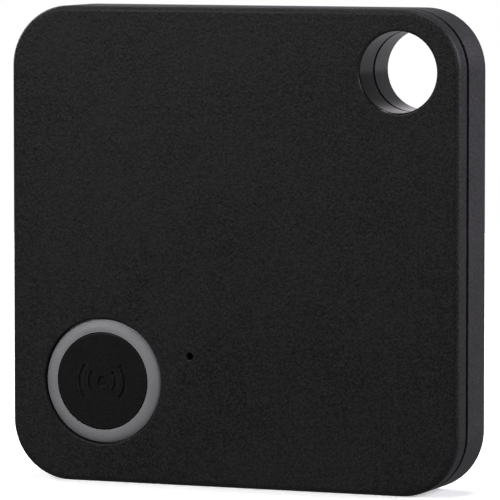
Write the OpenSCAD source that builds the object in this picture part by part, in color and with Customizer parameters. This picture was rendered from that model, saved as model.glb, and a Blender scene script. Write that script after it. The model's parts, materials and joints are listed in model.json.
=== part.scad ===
// Square Bluetooth tracker tag with a corner lanyard hole, a ringed button and a clip-fitted back.
// Row frame, millimetres: +X right, +Y from the front face to the back, +Z up.
// The origin is under the middle of the bottom edge. Depths are counted back from the front face.

/* [Case] */
// width and height of the square case
side = 37; // [36.8:0.1:38]
// front face to rear face
thick = 6.4; // [6.4:0.1:6.8]
// radius of the four corners
corner_r = 4.7; // [4.6:0.1:5]
// rounding of the front edge
front_round = 0.45; // [0.4:0.05:0.9]
// rounding of the rear edge
rear_round = 0.6; // [0.4:0.1:0.8]
// depth at which the front cover's side wall ends
seam_d = 1.64; // [1.6:0.02:1.9]
// width of the shadow groove round the seam
groove_w = 0.6; // [0.2:0.02:0.64]

/* [Lanyard hole] */
// radius of the hole
hole_r = 3.1; // [3:0.05:3.2]
// hole centre, in from the right edge
hole_in_x = 4.95; // [4.8:0.05:5]
// hole centre, in from the top edge
hole_in_z = 4.75; // [4.7:0.05:4.9]

/* [Button] */
// button centre, in from the left edge
button_in_x = 7.66; // [7.6:0.02:7.9]
// button centre, in from the bottom edge
button_in_z = 7.88; // [7.8:0.02:7.9]
// outer radius of the grey ring
ring_r = 4.8; // [4.6:0.02:4.8]
// radius of the pad
pad_r = 3.76; // [3.6:0.02:3.78]
// radius of the ring's rounded top, which falls away outward
ring_dome_r = 1.2; // [1.1:0.05:1.6]
// how deep the ring's crown is sunk below the face
ring_sink = 0.02; // [0:0.01:0.1]

/* [Sound hole] */
// radius of the pinhole in front of the buzzer
pinhole_r = 0.28; // [0.2:0.02:0.34]

/* [Cell] */
// radius of the coin cell
cell_r = 10; // [9.9:0.05:10]
// thickness of the coin cell
cell_t = 1.6; // [1.55:0.05:1.6]

/* [Hidden] */
$fn = 72;
front_y = -thick / 2;
rear_wall_d = thick - 1.0;
gap = 0.1;
groove_deep = 0.6;
wall = 1.2;
rib_d = 4.75;
lip_out = 1.35;
lip_in = 1.9;
collar_d = 2.95;
collar_gap = 0.45;
mouth_r = 0.22;
collar_r = hole_r + 0.95;
hole = [side / 2 - hole_in_x, side - hole_in_z];
button = [button_in_x - side / 2, button_in_z];
ring_seat_r = ring_r + 0.13;
ring_flange_d = 0.56;
ring_crown_in = 0.17;
shelf_r = pad_r + 0.37;
shelf_d = 0.95;
boss_d = 1.35;
pinhole = [-3.5, 10.08];
pad_gap = 0.06;
pad_round = 0.1;
mark_d = 0.14;
piezo = [1.5, 13.0];
piezo_r = 7.0;
board_d = 2.15;
board_back_d = 2.95;
stakes = [[-14.6, 28.5], [13.6, 3.9], [14.0, 22.0], [-4.6, 3.9]];
cell = [-4.5, 20.5];
cell_back_d = 5.15;
cell_front_d = cell_back_d - cell_t;
cradle_r = 11.2;
cradle_pegs = [135, 225];
ejector_at = [[-14.5, 4.2], [14.2, 4.2], [-14.8, 33.2], [13.2, 24.6]];
chip = [4.5, 27.5];
capacitor_at = [[0.6, 23.4], [8.6, 30.6], [8.6, 23.2], [1.6, 31.4]];
resistor_at = [[11.6, 18.4], [11.6, 15.8], [4.6, 23.0], [-1.8, 30.2]];

// the case outline, inset evenly
module outline(inset = 0) {
    w = side - 2 * inset;
    r = corner_r - inset;
    translate([0, side / 2]) union() {
        square([w - 2 * r, w], center = true);
        square([w, w - 2 * r], center = true);
        for (x = [-1, 1], y = [-1, 1])
            translate([x * (w / 2 - r), y * (w / 2 - r)]) circle(r);
    }
}

// a flat shape in X and Z, filled from depth a to depth b
module slab(a, b)
    translate([0, front_y + b, 0]) rotate([90, 0, 0]) linear_extrude(b - a) children();

// a round disc or pin between two depths
module disc(a, b, r, at)
    slab(a, b) translate(at) circle(r);

// a turned shape: profile X is the radius, profile Y is the depth
module turned(at)
    translate([at[0], front_y, at[1]]) rotate([-90, 0, 0]) rotate_extrude() children();

// a box centred in X and Z, between two depths
module block(a, b, at, w, h)
    slab(a, b) translate(at) square([w, h], center = true);

// the case outline swept with an edge section: straight runs and quarter corners
module edge_sweep(a, b) translate([0, front_y, side / 2]) {
    for (k = [0:3]) rotate([0, -90 * k, 0]) {
        translate([side / 2 - corner_r, 0, 0])
            linear_extrude(side - 2 * corner_r, center = true) children();
        translate([side / 2 - corner_r, 0, side / 2 - corner_r])
            rotate([-90, 0, 0]) rotate([0, 0, -90]) rotate_extrude(angle = 90) children();
    }
    translate([0, (a + b) / 2, 0])
        cube([side - 2 * corner_r, b - a, side - 2 * corner_r], center = true);
}

// edge section rounded at its front
module front_section(a, b, r) {
    translate([0, a + r]) square([corner_r, b - a - r]);
    translate([0, a]) square([corner_r - r, b - a]);
    translate([corner_r - r, a + r]) circle(r);
}

// edge section rounded at its back
module rear_section(a, b, r) {
    translate([0, a]) square([corner_r, b - a - r]);
    translate([0, a]) square([corner_r - r, b - a]);
    translate([corner_r - r, b - r]) circle(r);
}

// cuts a rounded mouth of radius f into a hole of radius r at the front (dir 1) or back (-1)
module mouth(at, r, f, d, dir) turned(at) translate([0, d]) scale_y(dir) difference() {
    translate([0, -0.1]) square([r + f, f + 0.1]);
    translate([r + f, f]) circle(f);
}

module scale_y(dir) if (dir < 0) mirror([0, 1]) children(); else children();

module front_cover() color([0.055, 0.055, 0.06]) difference() {
    union() {
        difference() {
            edge_sweep(0, seam_d) front_section(0, seam_d, front_round);
            slab(1.0, 3.5) outline(lip_in);
        }
        difference() {
            slab(seam_d - 0.1, collar_d) outline(lip_out);
            slab(1.0, 3.5) outline(lip_in);
        }
        slab(0.9, collar_d) intersection() {
            outline(lip_out);
            translate(hole) circle(collar_r);
        }
        disc(0.9, boss_d, ring_seat_r + 0.95, button);
        difference() {
            disc(0.9, boss_d, piezo_r, piezo);
            disc(0.8, 1.5, piezo_r - 0.8, piezo);
        }
        for (p = stakes) {
            disc(0.9, board_d, 0.95, p);
            disc(board_d - 0.1, board_back_d + 0.1, 0.45, p);
            disc(board_back_d, board_back_d + 0.25, 0.75, p);
        }
        for (k = [0:3]) translate([0, 0, side / 2]) rotate([0, 90 * k, 0])
            translate([-4, front_y + 2.55, side / 2 - lip_out - 0.1]) cube([8, 0.3, 0.22]);
    }
    disc(-1, 4, hole_r, hole);
    mouth(hole, hole_r, mouth_r, 0, 1);
    disc(-1, shelf_d, ring_seat_r, button);
    mouth(button, ring_seat_r, 0.12, 0, 1);
    disc(0.5, 2, shelf_r, button);
    disc(-1, 2, pinhole_r, pinhole);
    mouth(pinhole, pinhole_r, 0.08, 0, 1);
}

module rear_cover() color([0.06, 0.06, 0.065]) difference() {
    union() {
        difference() {
            edge_sweep(seam_d + gap, thick) rear_section(seam_d + gap, thick, rear_round);
            slab(1.0, rear_wall_d) outline(wall);
        }
        disc(collar_d + collar_gap, thick - 0.5, collar_r, hole);
        difference() {
            disc(cell_back_d + 0.08, rear_wall_d + 0.1, 7.8, cell);
            disc(cell_back_d, rear_wall_d, 7.15, cell);
        }
        block(rib_d, rear_wall_d + 0.1, [8.2, 15], 0.7, side - 2 * wall - 6.5);
        block(rib_d, rear_wall_d + 0.1, [0, 7.9], side - 2 * wall + 0.2, 0.7);
    }
    slab(1, seam_d + groove_w) difference() {
        square([3 * side, 3 * side], center = true);
        outline(groove_deep);
    }
    disc(1, 8, hole_r, hole);
    mouth(hole, hole_r, mouth_r, thick, -1);
    for (p = ejector_at) disc(1, rear_wall_d + 0.06, 1.1, p);
    for (k = [0:3]) translate([0, 0, side / 2]) rotate([0, 90 * k, 0])
        translate([-4.3, front_y + 2.45, side / 2 - wall - 0.1]) cube([8.6, 0.5, 0.35]);
    translate([-side / 2 - 0.5, front_y + 1.5, side / 2 + 5]) cube([1.1, 1.25, 6]);
}

module button_ring() color([0.36, 0.35, 0.37]) turned(button) union() {
    inner = pad_r + pad_gap;
    translate([inner, ring_flange_d]) square([ring_r + 0.1 - inner, shelf_d - ring_flange_d]);
    intersection() {
        translate([inner + ring_crown_in, ring_sink + ring_dome_r]) circle(ring_dome_r);
        translate([inner, -0.1]) square([ring_r - inner, ring_flange_d + 0.2]);
    }
}

// the mark on the pad: a dot between two pairs of waves
module wave_mark() {
    disc(-1, mark_d, 0.4, button);
    for (r = [1.1, 1.9], turn = [0, 180])
        translate([button[0], front_y, button[1]]) rotate([-90, 0, 0])
            rotate([0, 0, turn - 42]) rotate_extrude(angle = 84)
                translate([r - 0.15, -1]) square([0.3, 1 + mark_d]);
}

module button_cap() color([0.03, 0.03, 0.033]) difference() {
    turned(button) union() {
        difference() {
            square([pad_r, 1.68]);
            translate([0, 1.1]) square([pad_r - 0.9, 1]);
            translate([pad_r - pad_round, -0.1]) square([0.3, 0.1 + pad_round]);
        }
        translate([pad_r - pad_round, pad_round]) circle(pad_round);
        translate([pad_r - 0.5, boss_d + 0.04]) square([1.3, 0.3]);
        square([0.9, boss_d]);
    }
    wave_mark();
}

module circuit_board() color([0.03, 0.16, 0.09]) slab(board_d, board_back_d) difference() {
    outline(2.0);
    translate(hole) circle(collar_r + 0.35);
    for (p = stakes) translate(p) circle(0.5);
    for (a = cradle_pegs)
        translate(cell + 10.7 * [cos(a), sin(a)]) circle(0.5);
}

module switch_base() color([0.08, 0.08, 0.08]) difference() {
    block(1.75, board_d, button, 3.6, 3.0);
    disc(1.5, 1.96, 1.25, button);
}

module switch_frame() color([0.7, 0.7, 0.72]) {
    difference() {
        block(1.62, 1.75, button, 3.6, 3.0);
        disc(1.5, 2, 0.8, button);
    }
    for (s = [-1, 1]) block(1.62, board_d, button + [s * 1.87, 0], 0.14, 1.6);
}

module switch_dome() color([0.8, 0.8, 0.8]) turned(button) difference() {
    intersection() {
        translate([0, 5.08]) circle(3.34);
        translate([0, 1.6]) square([1.2, 0.35]);
    }
    translate([0, 5.08]) circle(3.26);
}

module switch_plunger() color([0.75, 0.74, 0.7]) turned(button)
    translate([0, boss_d + 0.01]) square([0.72, 0.36]);

module bluetooth_chip() color([0.07, 0.07, 0.08]) difference() {
    block(1.35, board_d, chip, 5, 5);
    disc(1.2, 1.42, 0.25, chip + [-1.8, 1.8]);
}

module radio_crystal() color([0.75, 0.75, 0.76]) {
    block(1.65, board_d, [9.7, 26.8], 2.0, 2.5);
    block(1.55, 1.65, [9.7, 26.8], 1.7, 2.2);
}

module clock_crystal() color([0.72, 0.72, 0.74]) {
    block(1.55, board_d, [-1.2, 26.8], 1.5, 3.2);
    block(1.45, 1.55, [-1.2, 26.8], 1.2, 2.9);
}

// the folded copper track of the aerial, on the front of the board
module antenna_trace() color([0.75, 0.5, 0.25]) {
    for (k = [0:4]) {
        block(board_d - 0.05, board_d, [-13.5 + 2 * k, 32.9], 0.5, 3.0);
        block(board_d - 0.05, board_d, [-12.5 + 2 * k, 32.9 + (k % 2 == 0 ? 1.25 : -1.25)], 2.5, 0.5);
    }
    block(board_d - 0.05, board_d, [-3.5, 31.9], 0.5, 5.0);
    block(board_d - 0.05, board_d, [-2.6, 29.65], 2.3, 0.5);
}

module capacitors() color([0.6, 0.5, 0.38])
    for (p = capacitor_at) block(1.65, board_d, p, 1.0, 0.8);

module resistors() color([0.06, 0.06, 0.06])
    for (p = resistor_at) block(1.8, board_d, p, 1.0, 0.8);

module component_end_caps() color([0.8, 0.8, 0.8]) {
    for (p = capacitor_at, s = [-1, 1]) block(1.63, board_d, p + [s * 0.65, 0], 0.3, 0.84);
    for (p = resistor_at, s = [-1, 1]) block(1.78, board_d, p + [s * 0.65, 0], 0.3, 0.84);
}

module boost_inductor() color([0.2, 0.2, 0.21]) {
    block(board_back_d, board_back_d + 0.35, [12.2, 14.5], 4, 4);
    disc(board_back_d + 0.3, board_back_d + 1.1, 1.5, [12.2, 14.5]);
    disc(board_back_d + 1.05, board_back_d + 1.4, 1.95, [12.2, 14.5]);
}

module buzzer_driver() color([0.09, 0.09, 0.1]) {
    block(board_back_d + 0.1, board_back_d + 1.0, [12, 9.2], 2.9, 1.3);
    for (s = [-1, 1]) block(board_back_d, board_back_d + 0.2, [12 + 0.95 * s, 8.3], 0.4, 1.0);
    block(board_back_d, board_back_d + 0.2, [12, 10.1], 0.4, 1.0);
}

module reservoir_capacitor() color([0.55, 0.42, 0.3])
    block(board_back_d, board_back_d + 1.6, [6.0, 5.2], 3.2, 1.6);

module piezo_plate() color([0.75, 0.6, 0.3]) disc(1.45, 1.6, piezo_r, piezo);

module piezo_ceramic() color([0.85, 0.85, 0.82]) disc(1.6, 1.75, 5.0, piezo);

module piezo_adhesive() color([0.8, 0.78, 0.7]) difference() {
    disc(boss_d, 1.45, piezo_r - 0.02, piezo);
    disc(1.2, 1.6, piezo_r - 0.78, piezo);
}

// a bent leaf: foot on the board, riser, and a finger that reaches forward to depth d
module front_leaf(at, d) {
    block(board_d - 0.1, board_d, at + [2.1, 0], 1.6, 1.0);
    block(d, board_d, at + [1.35, 0], 0.1, 1.0);
    block(d, d + 0.1, at + [0.3, 0], 2.2, 1.0);
}

module plate_contact() color([0.85, 0.7, 0.35]) front_leaf(piezo + [6.0, 0], 1.6);

module ceramic_contact() color([0.85, 0.7, 0.35]) front_leaf(piezo, 1.75);

module battery_cradle() color([0.82, 0.8, 0.76]) {
    difference() {
        disc(board_back_d, 4.7, cradle_r, cell);
        disc(2, 5, cell_r + 0.2, cell);
        block(2, 5, cell + [10, 0], 4, 6.4);
    }
    for (a = cradle_pegs)
        disc(board_d + 0.1, board_back_d + 0.1, 0.45, cell + 10.7 * [cos(a), sin(a)]);
}

module positive_contact() color([0.8, 0.79, 0.76]) {
    block(board_back_d + 0.05, 4.6, cell + [cell_r + 0.12, 0], 0.2, 5.0);
    block(board_back_d + 0.05, board_back_d + 0.2, cell + [cell_r + 1.3, 0], 2.3, 5.0);
}

module negative_contact() color([0.8, 0.79, 0.76]) {
    block(board_back_d + 0.05, board_back_d + 0.2, cell + [-4.5, 0], 4.0, 4.0);
    block(board_back_d + 0.05, cell_front_d - 0.02, cell + [-2.6, 0], 0.15, 3.0);
    for (s = [-1, 1])
        block(cell_front_d - 0.17, cell_front_d - 0.02, cell + [0.8, s * 1.0], 6.8, 1.0);
}

module solder_pads() color([0.7, 0.7, 0.72]) {
    block(board_back_d, board_back_d + 0.05, cell + [-4.5, 0], 4.6, 4.6);
    block(board_back_d, board_back_d + 0.05, cell + [cell_r + 1.3, 0], 2.3, 5.4);
}

module test_pads() color([0.85, 0.68, 0.3])
    for (k = [0:4]) disc(board_back_d, board_back_d + 0.03, 0.5, [-14.5 + 1.9 * k, 6.5]);

module cell_can() color([0.74, 0.74, 0.73]) turned(cell) difference() {
    union() {
        translate([0, cell_back_d - 0.25]) square([cell_r - 0.2, 0.25]);
        translate([cell_r - 0.25, cell_front_d + 0.2]) square([0.25, cell_t - 0.4]);
        translate([cell_r - 0.4, cell_front_d + 0.15]) square([0.35, 0.15]);
        translate([cell_r - 0.25, cell_back_d - 0.25]) circle(0.25);
    }
}

module cell_gasket() color([0.15, 0.25, 0.5]) turned(cell) {
    translate([cell_r - 1.2, cell_front_d + 0.17]) square([0.8, 0.13]);
    translate([cell_r - 0.6, cell_front_d + 0.3]) square([0.35, cell_t - 0.9]);
}

module cell_cap() color([0.78, 0.78, 0.77]) turned(cell) {
    square_at_front = cell_front_d;
    translate([0, square_at_front]) square([cell_r - 1.2, 0.2]);
    translate([cell_r - 1.4, square_at_front + 0.1]) square([0.2, 0.4]);
    translate([cell_r - 1.4, square_at_front + 0.3]) square([0.8, 0.2]);
}

module cell_pad() color([0.1, 0.1, 0.1]) disc(cell_back_d + 0.02, rear_wall_d, 7.0, cell);

front_cover();
rear_cover();
button_ring();
button_cap();
circuit_board();
switch_base();
switch_frame();
switch_dome();
switch_plunger();
bluetooth_chip();
radio_crystal();
clock_crystal();
antenna_trace();
capacitors();
resistors();
component_end_caps();
boost_inductor();
buzzer_driver();
reservoir_capacitor();
piezo_plate();
piezo_ceramic();
piezo_adhesive();
plate_contact();
ceramic_contact();
battery_cradle();
positive_contact();
negative_contact();
solder_pads();
test_pads();
cell_can();
cell_gasket();
cell_cap();
cell_pad();
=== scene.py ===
"""Looks of the square Bluetooth tracker tag: camera, light, materials and fine board detail."""

import json
import math

import bmesh
import bpy
from mathutils import Matrix, Vector


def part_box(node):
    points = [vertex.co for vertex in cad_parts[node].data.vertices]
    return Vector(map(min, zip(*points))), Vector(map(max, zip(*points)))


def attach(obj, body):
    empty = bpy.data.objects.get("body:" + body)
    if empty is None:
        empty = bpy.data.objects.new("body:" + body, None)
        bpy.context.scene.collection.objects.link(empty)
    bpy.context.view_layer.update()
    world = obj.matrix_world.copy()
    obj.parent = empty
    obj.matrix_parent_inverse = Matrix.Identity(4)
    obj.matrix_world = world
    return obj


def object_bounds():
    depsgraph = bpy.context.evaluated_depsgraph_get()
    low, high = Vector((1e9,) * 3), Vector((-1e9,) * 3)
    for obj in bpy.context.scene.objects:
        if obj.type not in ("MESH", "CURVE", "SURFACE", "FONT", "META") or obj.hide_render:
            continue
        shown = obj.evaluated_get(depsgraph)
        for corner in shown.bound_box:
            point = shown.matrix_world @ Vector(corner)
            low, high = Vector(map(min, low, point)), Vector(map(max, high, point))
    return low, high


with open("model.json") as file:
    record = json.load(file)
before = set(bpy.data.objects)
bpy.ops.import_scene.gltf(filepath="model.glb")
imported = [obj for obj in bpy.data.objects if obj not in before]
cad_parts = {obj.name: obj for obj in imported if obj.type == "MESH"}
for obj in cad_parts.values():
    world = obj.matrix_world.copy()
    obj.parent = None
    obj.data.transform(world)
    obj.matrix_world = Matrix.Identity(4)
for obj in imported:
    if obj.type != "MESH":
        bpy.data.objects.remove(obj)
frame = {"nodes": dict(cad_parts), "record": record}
cad_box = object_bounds()
MM = 0.001


# ---------------------------------------------------------------- materials

class Shader:
    """A procedural material: one Principled shader and short names for the nodes that drive it."""

    def __init__(self, name, **sockets):
        self.material = bpy.data.materials.new(name)
        self.material.use_nodes = True
        self.tree = self.material.node_tree
        self.tree.nodes.clear()
        self.shader = self.add("ShaderNodeBsdfPrincipled")
        output = self.add("ShaderNodeOutputMaterial")
        self.link(self.shader.outputs["BSDF"], output.inputs["Surface"])
        self.place = self.add("ShaderNodeTexCoord").outputs["Object"]
        for socket, value in sockets.items():
            self.shader.inputs[socket.replace("_", " ")].default_value = value

    def add(self, kind, **settings):
        node = self.tree.nodes.new(kind)
        for key, value in settings.items():
            setattr(node, key, value)
        return node

    def link(self, source, target):
        self.tree.links.new(source, target)

    def feed(self, node, values):
        """Sets or links a node's inputs, by number or name."""
        for key, value in values.items():
            if isinstance(value, bpy.types.NodeSocket):
                self.link(value, node.inputs[key])
            else:
                node.inputs[key].default_value = value
        return node

    def stretched(self, x=1.0, y=1.0, z=1.0, shift=(0, 0, 0)):
        """Object coordinates scaled along each axis, for brushed or drawn surfaces."""
        node = self.add("ShaderNodeMapping")
        self.feed(node, {"Vector": self.place, "Scale": (x, y, z), "Location": shift})
        return node.outputs["Vector"]

    def noise(self, size, detail=3.0, rough=0.55, vector=None):
        """Noise whose features are about size metres across, from 0 to 1."""
        node = self.add("ShaderNodeTexNoise")
        where = vector or self.place
        self.feed(node, {"Vector": where, "Scale": 1 / size, "Detail": detail, "Roughness": rough})
        return node.outputs["Fac"]

    def cells(self, size):
        """Cell noise: the distance to the nearest point."""
        node = self.add("ShaderNodeTexVoronoi", feature="F1")
        self.feed(node, {"Vector": self.place, "Scale": 1 / size})
        return node.outputs["Distance"]

    def ramp(self, value, low, high, out_low=0.0, out_high=1.0):
        """Maps low..high to out_low..out_high, clamped."""
        node = self.add("ShaderNodeMapRange")
        self.feed(node, {0: value, 1: low, 2: high, 3: out_low, 4: out_high})
        return node.outputs["Result"]

    def math(self, operation, a, b=0.0):
        node = self.add("ShaderNodeMath", operation=operation)
        return self.feed(node, {0: a, 1: b}).outputs["Value"]

    def mix(self, factor, a, b):
        """Colour a to colour b by factor; a and b are colours or sockets."""
        node = self.add("ShaderNodeMix", data_type="RGBA")
        for index, value in ((6, a), (7, b)):
            if isinstance(value, bpy.types.NodeSocket):
                self.link(value, node.inputs[index])
            else:
                node.inputs[index].default_value = (*value, 1.0)
        self.link(factor, node.inputs[0])
        return node.outputs[2]

    def edges(self, radius):
        """1 on edges sharper than radius, 0 on flats: the difference a bevel makes to the normal."""
        bevel = self.add("ShaderNodeBevel", samples=6)
        bevel.inputs["Radius"].default_value = radius
        geometry = self.add("ShaderNodeNewGeometry")
        dot = self.add("ShaderNodeVectorMath", operation="DOT_PRODUCT")
        self.feed(dot, {0: bevel.outputs["Normal"], 1: geometry.outputs["Normal"]})
        return self.ramp(dot.outputs["Value"], 0.999, 0.86)

    def set(self, socket, value):
        self.link(value, self.shader.inputs[socket])

    def bump(self, height, depth, below=None):
        """Raises the surface by height times depth metres, over an earlier bump."""
        node = self.add("ShaderNodeBump")
        self.feed(node, {"Height": height, "Distance": depth, "Strength": 1.0})
        if below is not None:
            self.link(below, node.inputs["Normal"])
        self.set("Normal", node.outputs["Normal"])
        return node.outputs["Normal"]


def moulded(name, dark, light, rough=(0.42, 0.56), grain=0.00015, depth=0.000022,
            level=0.15, polished=None, gloss=0.6):
    """Moulded plastic with a spark-eroded grain, slow blotches, and slightly polished edges that are
    painted lighter in broken patches: partly wear, partly a painted highlight.
    grain is the size of the texture and depth its height. polished is the (x, z, radius) of a
    bore that a smooth core pin left glossy, and gloss is how glossy."""
    s = Shader(name, Specular_IOR_Level=level)
    fine = s.noise(grain, detail=4.0, rough=0.62)
    coarse = s.noise(grain * 2.6, detail=2.0)
    pits = s.ramp(s.cells(grain * 1.9), 0.0, 0.55)
    blotch = s.noise(0.007, detail=2.0)
    edge = s.edges(0.00022)
    tone = s.mix(s.ramp(fine, 0.38, 0.66), dark, light)
    tone = s.mix(s.ramp(blotch, 0.3, 0.75, 0.0, 0.25), tone, light)
    # The lighter edge colour is a painted highlight along the edges, broken up by nicks of wear.
    highlight_and_worn = tuple(3.2 * c for c in light)
    nicks = s.ramp(s.noise(0.0009, detail=5.0), 0.40, 0.62, 0.15, 1.0)
    wear_and_highlight = s.math("MULTIPLY", edge, nicks)
    s.set("Base Color", s.mix(s.math("MULTIPLY", wear_and_highlight, 0.55), tone, highlight_and_worn))
    matte = s.ramp(s.math("ADD", s.math("MULTIPLY", fine, 0.6), s.math("MULTIPLY", blotch, 0.4)),
                   0.35, 0.65, rough[0], rough[1])
    matte = s.math("SUBTRACT", matte, s.math("MULTIPLY", wear_and_highlight, 0.12))
    relief = s.math("ADD", fine, s.math("MULTIPLY", coarse, 0.8))
    if polished:
        x, z, radius = polished
        flat = s.stretched(1, 0, 1, shift=(-x, 0, -z))
        away = s.feed(s.add("ShaderNodeVectorMath", operation="LENGTH"), {0: flat}).outputs["Value"]
        bore = s.ramp(away, radius + 0.00006, radius + 0.00016, 1.0, 0.0)
        outside = s.math("SUBTRACT", 1.0, s.math("MULTIPLY", bore, 0.8))
        matte = s.math("MULTIPLY", matte, s.ramp(bore, 0, 1, 1.0, 0.4))
        relief = s.math("MULTIPLY", relief, outside)
        pits = s.math("MULTIPLY", pits, outside)
        s.set("Coat Weight", s.math("MULTIPLY", bore, gloss))
        s.shader.inputs["Coat Roughness"].default_value = 0.2
    s.set("Roughness", matte)
    first = s.bump(relief, depth)
    s.bump(pits, depth * 0.6, first)
    return s.material


def metal(name, colour, tarnish, rough=(0.22, 0.38), lines=(1.0, 1.0, 1.0)):
    """Rolled or plated metal: fine drawn lines, tarnish in patches, and a painted highlight along its
    edges.
    lines scales the noise along x, y and z; a small number draws it out along that axis."""
    s = Shader(name, Metallic=1.0)
    drawn = s.noise(0.00016, detail=3.0, vector=s.stretched(*lines))
    patch = s.noise(0.0022, detail=5.0, rough=0.6)
    edge = s.edges(0.00008)
    tone = s.mix(s.ramp(patch, 0.42, 0.72, 0.0, 0.8), colour, tarnish)
    # A paler tint along the edges: a painted highlight.
    highlight_tint = tuple(min(1.0, c * 1.2) for c in colour)
    s.set("Base Color", s.mix(s.math("MULTIPLY", edge, 0.6), tone, highlight_tint))
    s.set("Roughness", s.ramp(s.math("ADD", drawn, patch), 0.7, 1.35, rough[0], rough[1]))
    s.bump(drawn, 0.0000015)
    return s.material


def ceramic(name, dark, light):
    """Fired ceramic or ferrite: speckled, with a soft painted highlight along its edges."""
    s = Shader(name)
    speckle = s.noise(0.00012, detail=5.0, rough=0.7)
    cloud = s.noise(0.0016, detail=3.0)
    tone = s.mix(s.ramp(speckle, 0.38, 0.64), dark, light)
    # Edges painted paler: a painted highlight.
    pale_highlight = tuple(min(1.0, c * 1.25 + 0.02) for c in light)
    s.set("Base Color", s.mix(s.math("MULTIPLY", s.edges(0.00007), 0.5), tone, pale_highlight))
    s.set("Roughness", s.ramp(cloud, 0.35, 0.65, 0.5, 0.75))
    s.bump(speckle, 0.000003)
    return s.material


def ring_paint():
    """Satin grey trim ring: fine metallic fleck, haze in patches, and a painted highlight on its
    edges.
    """
    s = Shader("grey_ring_satin", Specular_IOR_Level=0.4, Metallic=0.1)
    fleck = s.noise(0.00006, detail=2.0)
    haze = s.noise(0.0016, detail=3.0)
    tone = s.mix(s.ramp(fleck, 0.35, 0.7), (0.208, 0.203, 0.214), (0.30, 0.293, 0.308))
    tone = s.mix(s.ramp(haze, 0.35, 0.7, 0.0, 0.35), tone, (0.35, 0.342, 0.358))
    # Paler grey along the edges: a painted highlight.
    s.set("Base Color", s.mix(s.math("MULTIPLY", s.edges(0.00006), 0.25), tone, (0.5, 0.49, 0.51)))
    s.set("Roughness", s.ramp(haze, 0.3, 0.7, 0.5, 0.62))
    s.bump(fleck, 0.0000012)
    return s.material


def board_mask():
    """Green solder mask over glass weave, glossier where it pools; bare edges are tan."""
    s = Shader("board_mask", Coat_Weight=0.35, Coat_Roughness=0.2)
    wave_x = s.add("ShaderNodeTexWave", bands_direction="X")
    wave_z = s.add("ShaderNodeTexWave", bands_direction="Z")
    for wave in (wave_x, wave_z):
        s.feed(wave, {"Vector": s.place, "Scale": 900.0, "Distortion": 0.4})
    weave = s.math("ADD", wave_x.outputs["Fac"], wave_z.outputs["Fac"])
    pool = s.noise(0.0024, detail=4.0)
    tone = s.mix(s.ramp(weave, 0.4, 1.6), (0.010, 0.068, 0.036), (0.016, 0.098, 0.052))
    tone = s.mix(s.ramp(pool, 0.4, 0.7, 0.0, 0.5), tone, (0.02, 0.125, 0.066))
    normal = s.add("ShaderNodeNewGeometry").outputs["True Normal"]
    split = s.add("ShaderNodeSeparateXYZ")
    s.link(normal, split.inputs[0])
    side = s.ramp(s.math("ABSOLUTE", split.outputs["Y"]), 0.75, 0.65)
    s.set("Base Color", s.mix(side, tone, (0.34, 0.29, 0.15)))
    s.set("Roughness", s.ramp(pool, 0.35, 0.65, 0.32, 0.48))
    s.bump(weave, 0.000002)
    return s.material


def foam():
    """Closed-cell foam: open pores and no gloss."""
    s = Shader("black_foam_pores", Specular_IOR_Level=0.15)
    pores = s.cells(0.00026)
    small = s.noise(0.0001, detail=4.0)
    s.set("Base Color", s.mix(s.ramp(pores, 0.1, 0.5), (0.006, 0.006, 0.006), (0.03, 0.03, 0.031)))
    s.set("Roughness", s.ramp(small, 0.3, 0.7, 0.85, 1.0))
    s.bump(pores, 0.00005)
    return s.material


def milky(name, dark, light, rough=(0.35, 0.5)):
    """Pale unfilled plastic that lets a little light in."""
    s = Shader(name, Subsurface_Weight=0.15, Subsurface_Scale=0.0006)
    fine = s.noise(0.0002, detail=3.0)
    flow = s.noise(0.004, detail=4.0)
    s.set("Base Color", s.mix(s.ramp(flow, 0.35, 0.7), dark, light))
    s.set("Roughness", s.ramp(fine, 0.3, 0.7, rough[0], rough[1]))
    s.bump(fine, 0.000003)
    return s.material


def lanyard_bore():
    """The hole's axis in x and z, and its radius, from the record's mount."""
    mount = next(m for m in frame["record"]["mounts"] if m["name"] == "lanyard_hole")
    return mount["pos_m"][0], mount["pos_m"][2], mount["dims"]["r_mm"] * MM


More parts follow.
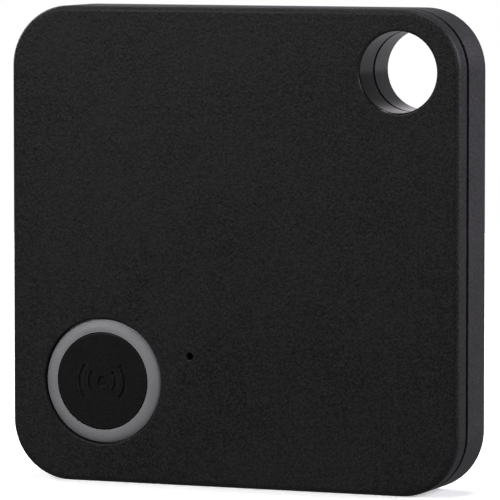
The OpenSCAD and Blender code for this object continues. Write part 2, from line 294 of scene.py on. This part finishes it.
def make_materials():
    """One finish for each of the record's material slots."""
    bore = lanyard_bore()
    return {
        "front_plastic": moulded("front_case_grain", (0.0048, 0.0046, 0.0049),
                                 (0.0264, 0.0254, 0.0267), polished=bore),
        "rear_plastic": moulded("rear_case_grain", (0.0064, 0.0061, 0.0067),
                                (0.0330, 0.0317, 0.0343), level=0.22, polished=bore, gloss=1.0),
        "grey_ring": ring_paint(),
        "button_plastic": moulded("button_fine_grain", (0.0050, 0.0050, 0.0052),
                                  (0.0120, 0.0120, 0.0124), rough=(0.40, 0.50),
                                  grain=0.00012, depth=0.000010, level=0.12),
        "solder_mask": board_mask(),
        "black_resin": ceramic("black_resin_moulded", (0.008, 0.008, 0.009), (0.022, 0.022, 0.024)),
        "plated_steel": metal("plated_steel", (0.66, 0.66, 0.65), (0.42, 0.41, 0.39)),
        "ivory_plastic": milky("ivory_plastic", (0.55, 0.50, 0.40), (0.66, 0.61, 0.50)),
        "gold_plate": metal("gold_plate", (0.86, 0.62, 0.27), (0.62, 0.42, 0.20)),
        "tan_ceramic": ceramic("tan_ceramic", (0.30, 0.20, 0.11), (0.46, 0.33, 0.20)),
        "solder": metal("solder_tin", (0.64, 0.64, 0.66), (0.40, 0.40, 0.41), rough=(0.2, 0.5)),
        "ferrite": ceramic("ferrite_core", (0.018, 0.018, 0.02), (0.055, 0.055, 0.06)),
        "brass_plate": metal("buzzer_brass", (0.74, 0.54, 0.22), (0.45, 0.29, 0.12),
                             lines=(1, 1, 0.1)),
        "white_ceramic": ceramic("piezo_ceramic", (0.62, 0.60, 0.55), (0.78, 0.77, 0.73)),
        "adhesive_tape": milky("adhesive_tape", (0.52, 0.49, 0.38), (0.68, 0.65, 0.55),
                               rough=(0.5, 0.7)),
        "nickel_strip": metal("nickel_strip", (0.66, 0.63, 0.57), (0.44, 0.41, 0.36),
                              lines=(0.08, 1, 1)),
        "cell_steel": metal("cell_steel", (0.70, 0.70, 0.69), (0.58, 0.57, 0.55), lines=(0.06, 1, 1),
                            rough=(0.36, 0.48)),
        "gasket_plastic": milky("gasket_plastic", (0.03, 0.05, 0.14), (0.05, 0.08, 0.2)),
        "black_foam": foam(),
    }


materials = make_materials()
for part in frame["record"]["subparts"]:
    slots = frame["nodes"][part["node"]].data.materials
    for index in range(len(slots)):
        slots[index] = materials[part["material_slot"]]


# ---------------------------------------------------------------- board detail

board_low, board_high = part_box("circuit_board")
BOARD_Y = board_high.y
cell_low, cell_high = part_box("cell_can")
cell_centre = (cell_low + cell_high) / 2
coil_low, coil_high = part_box("boost_inductor")
coil_centre = (coil_low + coil_high) / 2
store_low, store_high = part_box("reservoir_capacitor")
store_centre = (store_low + store_high) / 2
driver_low, driver_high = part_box("buzzer_driver")
driver_centre = (driver_low + driver_high) / 2
pads_low, pads_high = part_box("test_pads")
plus_low, plus_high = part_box("positive_contact")


def piece(name, mesh, body, finish):
    """Makes a mesh into an object that rides on a body and a finish."""
    data = bpy.data.meshes.new(name)
    bmesh.ops.recalc_face_normals(mesh, faces=mesh.faces)
    mesh.to_mesh(data)
    mesh.free()
    made = bpy.data.objects.new(name, data)
    bpy.context.scene.collection.objects.link(made)
    data.materials.append(finish)
    for face in data.polygons:
        face.use_smooth = True
    data.set_sharp_from_angle(angle=math.radians(35))
    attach(made, body)
    return made


def loops(mesh, rings):
    """Skins a list of rings of points, each ring closed, and caps the ends."""
    rows = [[mesh.verts.new(p) for p in ring] for ring in rings]
    count = len(rows[0])
    for a, b in zip(rows, rows[1:]):
        for i in range(count):
            j = (i + 1) % count
            mesh.faces.new((a[i], a[j], b[j], b[i]))
    mesh.faces.new(rows[0][::-1])
    mesh.faces.new(rows[-1])


def track(mesh, path, width, low, high):
    """A flat strip along a path of (x, z) points, mitred at its corners, from y low to high."""
    points = [Vector(p) for p in path]
    left, right = [], []
    for i, p in enumerate(points):
        before = (p - points[i - 1]).normalized() if i else (points[1] - p).normalized()
        after = (points[i + 1] - p).normalized() if i + 1 < len(points) else before
        along = (before + after).normalized()
        across = Vector((-along.y, along.x)) * (width / 2 / max(0.5, along.dot(before)))
        left.append(p + across)
        right.append(p - across)
    soft = min(width * 0.2, (high - low) * 0.9)
    rings = []
    for a, b in zip(left, right):
        inward = (b - a).normalized() * soft
        rings.append([(a.x, low, a.y), (a.x + inward.x, high, a.y + inward.y),
                      (b.x - inward.x, high, b.y - inward.y), (b.x, low, b.y)])
    loops(mesh, rings)


def annulus(mesh, x, z, inner, outer, low, high, steps=28):
    """A flat ring on the board with softened rims."""
    soft = (high - low) * 0.8
    profile = [(inner, low), (inner, high - soft), (inner + soft, high), (outer - soft, high),
               (outer, high - soft), (outer, low)]
    rows = []
    for k in range(steps):
        angle = 2 * math.pi * k / steps
        rows.append([mesh.verts.new((x + r * math.cos(angle), y, z + r * math.sin(angle)))
                     for r, y in profile])
    for a, b in zip(rows, rows[1:] + rows[:1]):
        for i in range(len(profile)):
            j = (i + 1) % len(profile)
            mesh.faces.new((a[i], a[j], b[j], b[i]))


def mound(mesh, x, z, wide, deep, low, tall, steps=24):
    """A solder mound: a low rounded heap on the board."""
    rings = []
    for level in range(7):
        t = level / 6
        shrink = math.cos(t * math.pi / 2) ** 0.8 * 0.94 + 0.06
        y = low + tall * math.sin(t * math.pi / 2) ** 1.3
        rings.append([(x + wide / 2 * shrink * math.cos(2 * math.pi * k / steps), y,
                       z + deep / 2 * shrink * math.sin(2 * math.pi * k / steps))
                      for k in range(steps)])
    loops(mesh, rings)


def rounded_box(mesh, low, high, soft):
    """A box with softened edges, made in a mesh of its own and then added."""
    box = bmesh.new()
    bmesh.ops.create_cube(box, size=1.0)
    centre, size = (low + high) / 2, high - low
    for vertex in box.verts:
        vertex.co = Vector([centre[i] + vertex.co[i] * size[i] for i in range(3)])
    bmesh.ops.bevel(box, geom=box.edges, offset=soft, segments=2, profile=0.6, affect="EDGES")
    spare = bpy.data.meshes.new("spare")
    box.to_mesh(spare)
    box.free()
    mesh.from_mesh(spare)
    bpy.data.meshes.remove(spare)


def pad_places():
    """Centres of the row of test pads, from the node's box."""
    radius = (pads_high.z - pads_low.z) / 2
    step = (pads_high.x - pads_low.x - 2 * radius) / 4
    return [(pads_low.x + radius + step * k, (pads_low.z + pads_high.z) / 2) for k in range(5)]


def board_tracks():
    """Copper tracks that stand a little proud under the solder mask, and their vias."""
    copper, holes = bmesh.new(), bmesh.new()
    top = BOARD_Y + 0.022 * MM
    thin, power = 0.2 * MM, 0.55 * MM
    ends = []
    for k, (x, z) in enumerate(pad_places()):
        up = z + (1.15 + 0.28 * k) * MM
        path = [(x, z + 0.5 * MM), (x, up), (x + 0.7 * MM, up + 0.7 * MM)]
        track(copper, path, thin, BOARD_Y, top)
        ends.append(path[-1])
    coil_x, coil_z = coil_centre.x, coil_centre.z
    pin, store = driver_centre, store_centre
    routes = [
        ([(pin.x, driver_high.z), (pin.x, coil_low.z)], power),
        ([(pin.x - 0.95 * MM, driver_low.z), (pin.x - 0.95 * MM, driver_low.z - 1.2 * MM),
          (store_high.x + 0.4 * MM, store.z)], thin),
        ([(pin.x + 0.95 * MM, driver_low.z), (pin.x + 0.95 * MM, driver_low.z - 1.0 * MM),
          (pin.x + 2.6 * MM, driver_low.z - 2.6 * MM)], thin),
        ([(coil_x, coil_high.z), (coil_x, coil_high.z + 1.2 * MM),
          (coil_x - 1.6 * MM, coil_high.z + 2.8 * MM), (plus_high.x, plus_high.z - 1.2 * MM)], power),
        ([(coil_high.x, coil_z), (coil_high.x + 0.7 * MM, coil_z - 0.7 * MM),
          (coil_high.x + 0.7 * MM, coil_z - 5.5 * MM)], thin),
        ([(store_low.x - 0.3 * MM, store.z), (store_low.x - 2.2 * MM, store.z),
          (store_low.x - 3.2 * MM, store.z - 1.0 * MM), (store_low.x - 6.0 * MM, store.z - 1.0 * MM)],
         thin),
    ]
    for step in range(3):
        drop = step * 0.55 * MM
        routes.append(([(coil_low.x - 1.2 * MM - drop, coil_z - 3.2 * MM),
                        (coil_low.x - 1.2 * MM - drop, store_high.z + 3.2 * MM - drop),
                        (store.x + 1.0 * MM - drop, store_high.z + 1.3 * MM)], thin))
        routes.append(([(board_low.x + 1.2 * MM + drop, board_high.z - 9.5 * MM),
                        (board_low.x + 1.2 * MM + drop, board_high.z - 3.0 * MM + drop),
                        (board_low.x + 5.0 * MM, board_high.z - 1.2 * MM - drop),
                        (board_low.x + 16.0 * MM, board_high.z - 1.2 * MM - drop)], thin))
    for path, width in routes:
        track(copper, path, width, BOARD_Y, top)
        if width == thin:
            ends.append(path[-1])
            ends.append(path[0])
    for x, z in ends:
        annulus(holes, x, z, 0.13 * MM, 0.3 * MM, BOARD_Y, BOARD_Y + 0.03 * MM)
    mask = materials["solder_mask"].copy()
    mask.name = "mask_over_copper"
    piece("board_tracks", copper, "front_half", mask)
    piece("board_vias", holes, "front_half", materials["solder"])


def board_legend():
    """White printed outlines round the parts on the board's back."""
    ink = bmesh.new()
    top = BOARD_Y + 0.012 * MM
    gap, line = 0.35 * MM, 0.13 * MM
    for low, high in ((coil_low, coil_high), (driver_low, driver_high), (store_low, store_high)):
        x0, x1, z0, z1 = low.x - gap, high.x + gap, low.z - gap, high.z + gap
        arm = 0.9 * MM
        for x, z, dx, dz in ((x0, z0, 1, 1), (x1, z0, -1, 1), (x1, z1, -1, -1), (x0, z1, 1, -1)):
            track(ink, [(x + dx * arm, z), (x, z), (x, z + dz * arm)], line, BOARD_Y, top)
    dashes, radius, half_dash = 48, 11.55 * MM, 0.045
    for k in range(dashes):
        angle = 2 * math.pi * k / dashes
        if abs(math.sin(angle)) < 0.32 and math.cos(angle) > 0:
            continue
        ends = [(cell_centre.x + radius * math.cos(angle + side * half_dash),
                 cell_centre.z + radius * math.sin(angle + side * half_dash)) for side in (-1, 1)]
        if min(z for _, z in ends) < board_high.z and min(x for x, _ in ends) > board_low.x:
            track(ink, ends, line, BOARD_Y, top)
    s = Shader("board_ink")
    speckle = s.ramp(s.noise(0.0002, detail=4.0), 0.35, 0.65)
    s.set("Base Color", s.mix(speckle, (0.6, 0.6, 0.57), (0.78, 0.78, 0.75)))
    s.set("Roughness", s.ramp(s.noise(0.0006), 0.3, 0.7, 0.5, 0.7))
    piece("board_legend_lines", ink, "front_half", s.material)


def coil_winding():
    """Enamelled copper wire wound round the inductor's drum."""
    wire, drum = 0.075 * MM, 1.5 * MM
    start, stop = BOARD_Y + 0.43 * MM, coil_high.y - 0.42 * MM
    radius = drum + wire
    turns = 4
    steps = 40 * turns
    mesh = bmesh.new()
    rings = []
    for i in range(steps + 1):
        angle = 2 * math.pi * turns * i / steps
        y = start + (stop - start) * i / steps
        out = Vector((math.cos(angle), 0, math.sin(angle)))
        centre = Vector((coil_centre.x, y, coil_centre.z)) + out * radius
        rings.append([tuple(centre + out * wire * math.cos(t) + Vector((0, wire, 0)) * math.sin(t))
                      for t in (2 * math.pi * k / 10 for k in range(10))])
    loops(mesh, rings)
    s = Shader("enamelled_copper", Metallic=0.85, Coat_Weight=0.6, Coat_Roughness=0.12)
    patch = s.ramp(s.noise(0.0009, detail=4.0), 0.35, 0.7)
    s.set("Base Color", s.mix(patch, (0.48, 0.16, 0.06), (0.62, 0.26, 0.11)))
    s.set("Roughness", s.ramp(s.noise(0.0002), 0.3, 0.7, 0.22, 0.4))
    piece("inductor_winding", mesh, "front_half", s.material)


def solder_joints():
    """Solder mounds where the parts on the board's back meet their pads."""
    mesh = bmesh.new()
    for x in (store_low.x, store_high.x):
        mound(mesh, x, store_centre.z, 1.1 * MM, 1.7 * MM, BOARD_Y, 0.42 * MM)
    for dx, z in ((-0.95, driver_low.z), (0.95, driver_low.z), (0, driver_high.z)):
        mound(mesh, driver_centre.x + dx * MM, z, 0.62 * MM, 0.7 * MM, BOARD_Y, 0.24 * MM)
    for dx in (-1, 1):
        mound(mesh, coil_centre.x + dx * 1.95 * MM, coil_centre.z,
              0.8 * MM, 2.2 * MM, BOARD_Y, 0.3 * MM)
    for dz in (-1, 1):
        z = plus_low.z + (plus_high.z - plus_low.z) * (1 + dz * 0.62) / 2
        mound(mesh, plus_high.x - 0.4 * MM, z, 1.1 * MM, 1.0 * MM, BOARD_Y + 0.04 * MM, 0.22 * MM)
    piece("board_solder_mounds", mesh, "front_half", materials["solder"])


def store_ends():
    """Tinned end caps over the ends of the buzzer's storage capacitor."""
    mesh = bmesh.new()
    proud = 0.03 * MM
    for low_x, high_x in ((store_low.x - proud, store_low.x + 0.5 * MM),
                          (store_high.x - 0.5 * MM, store_high.x + proud)):
        rounded_box(mesh, Vector((low_x, store_low.y, store_low.z - proud)),
                    Vector((high_x, store_high.y + proud, store_high.z + proud)), 0.08 * MM)
    piece("capacitor_end_terminals", mesh, "front_half", materials["solder"])


def cell_mark():
    """The raised polarity cross and the pressed ring near the rim, on the coin cell's back."""
    mesh = bmesh.new()
    low, high = cell_high.y - 0.002 * MM, cell_high.y + 0.012 * MM
    arm, half = 1.6 * MM, 0.25 * MM
    corner = [(half, half), (half, arm), (-half, arm)]
    outline = [Matrix.Rotation(math.pi / 2 * quarter, 2) @ Vector(p)
               for quarter in range(4) for p in corner]
    loops(mesh, [[(cell_centre.x + p.x * grow, y, cell_centre.z + p.y * grow) for p in outline]
                 for y, grow in ((low, 1.0), (high - 0.004 * MM, 1.0), (high, 0.985))])
    annulus(mesh, cell_centre.x, cell_centre.z, 8.7 * MM, 8.95 * MM, low, high, steps=96)
    piece("cell_polarity_mark", mesh, "coin_cell", materials["cell_steel"])


board_tracks()
board_legend()
coil_winding()
solder_joints()
store_ends()
cell_mark()


# ---------------------------------------------------------------- floor, light and camera

def floor():
    """A plain pale round floor that the tag stands on; it throws no light back up at the tag."""
    mesh = bmesh.new()
    bmesh.ops.create_circle(mesh, cap_ends=True, radius=260 * MM, segments=160)
    data = bpy.data.meshes.new("floor")
    mesh.to_mesh(data)
    mesh.free()
    disc = bpy.data.objects.new("floor", data)
    bpy.context.scene.collection.objects.link(disc)
    s = Shader("floor_white", Specular_IOR_Level=0.1, Roughness=0.9, Emission_Strength=0.36)
    s.shader.inputs["Emission Color"].default_value = (1, 1, 1, 1)
    s.set("Base Color", s.mix(s.noise(0.05), (0.90, 0.90, 0.90), (0.93, 0.93, 0.93)))
    data.materials.append(s.material)
    disc.visible_diffuse = False
    disc.visible_glossy = False


def soft_light(name, place, target, size, power, colour=(1, 1, 1)):
    """A square soft box aimed at a point."""
    data = bpy.data.lights.new(name, "AREA")
    data.shape = "SQUARE"
    data.size = size
    data.energy = power
    data.color = colour
    lamp = bpy.data.objects.new(name, data)
    lamp.location = place
    lamp.visible_camera = False
    lamp.rotation_euler = (Vector(target) - Vector(place)).to_track_quat("-Z", "Y").to_euler()
    bpy.context.scene.collection.objects.link(lamp)


def sky(glow, below):
    """White to the camera; as light, a grey room. glow lists (place, strength), where place runs
    from 0, straight behind the tag as the camera sees it, to 1, straight in front of it.
    below is the strength under the horizon."""
    world = bpy.data.worlds.new("studio")
    bpy.context.scene.world = world
    world.use_nodes = True
    tree = world.node_tree
    tree.nodes.clear()

    def add(kind, inputs=(), **settings):
        node = tree.nodes.new(kind)
        for key, value in settings.items():
            setattr(node, key, value)
        for key, value in inputs:
            if isinstance(value, bpy.types.NodeSocket):
                tree.links.new(value, node.inputs[key])
            else:
                node.inputs[key].default_value = value
        return node

    direction = add("ShaderNodeTexCoord").outputs["Generated"]
    in_front = (0.45, -0.89, 0.0)
    facing = add("ShaderNodeVectorMath", [(0, direction), (1, in_front)],
                 operation="DOT_PRODUCT").outputs["Value"]
    around = add("ShaderNodeMapRange", [(0, facing), (1, -1.0), (2, 1.0)]).outputs["Result"]
    strength = add("ShaderNodeValToRGB", [(0, around)])
    stops = strength.color_ramp.elements
    while len(stops) < len(glow):
        stops.new(0.5)
    for stop, (place, value) in zip(stops, glow):
        stop.position = place
        stop.color = (value, value, value, 1)
    height = add("ShaderNodeSeparateXYZ", [(0, direction)]).outputs["Z"]
    under = add("ShaderNodeMapRange", [(0, height), (1, 0.02), (2, -0.06)]).outputs["Result"]
    level = add("ShaderNodeMix", [(0, under), (2, strength.outputs["Color"]), (3, below)])
    light = add("ShaderNodeBackground", [("Color", (0.985, 0.955, 1.0, 1)),
                                         ("Strength", level.outputs[0])])
    seen = add("ShaderNodeBackground", [("Color", (1, 1, 1, 1)), ("Strength", 1.0)])
    path = add("ShaderNodeLightPath").outputs["Is Camera Ray"]
    mix = add("ShaderNodeMixShader", [(0, path), (1, light.outputs[0]), (2, seen.outputs[0])])
    add("ShaderNodeOutputWorld", [("Surface", mix.outputs[0])])


def camera():
    """A long lens from the front right, a little above, as in the photograph."""
    azimuth, elevation, distance = math.radians(22.07), math.radians(4.51), 0.380
    aside, down = 0.225 * MM, 0.322 * MM
    low, high = cad_box
    centre = (low + high) / 2
    back = Vector((math.sin(azimuth) * math.cos(elevation),
                   -math.cos(azimuth) * math.cos(elevation), math.sin(elevation)))
    right = Vector((math.cos(azimuth), math.sin(azimuth), 0))
    up = back.cross(right)
    data = bpy.data.cameras.new("camera")
    data.sensor_width = 36
    data.lens = 354.0
    data.clip_start = 0.01
    data.clip_end = 10
    view = bpy.data.objects.new("camera", data)
    view.location = centre + back * distance + right * aside - up * down
    view.rotation_euler = (-back).to_track_quat("-Z", "Y").to_euler()
    bpy.context.scene.collection.objects.link(view)
    bpy.context.scene.camera = view


floor()
sky([(0.0, 0.9), (0.07, 0.1), (0.2, 0.08), (0.45, 0.09), (0.75, 0.0)], 0.24)
soft_light("top_box", (0, 0.05, 1.2), (0, 0.05, 0), 0.35, 7.5)
soft_light("front_box", (-0.086, -0.155, 0.117), (-0.01, 0, 0.022), 0.06, 0.22)
soft_light("side_box", (0.30, 0.15, 0.15), (0, 0, 0.018), 0.2, 1.3, (0.93, 0.89, 1.0))
soft_light("right_box", (0.25, -0.18, 0.12), (-0.01, 0, 0.01), 0.12, 0.25)
soft_light("rear_box", (-0.38, 0.24, 0.20), (0, 0, 0.018), 0.25, 1.8)
camera()
bpy.context.scene.view_settings.view_transform = "Standard"
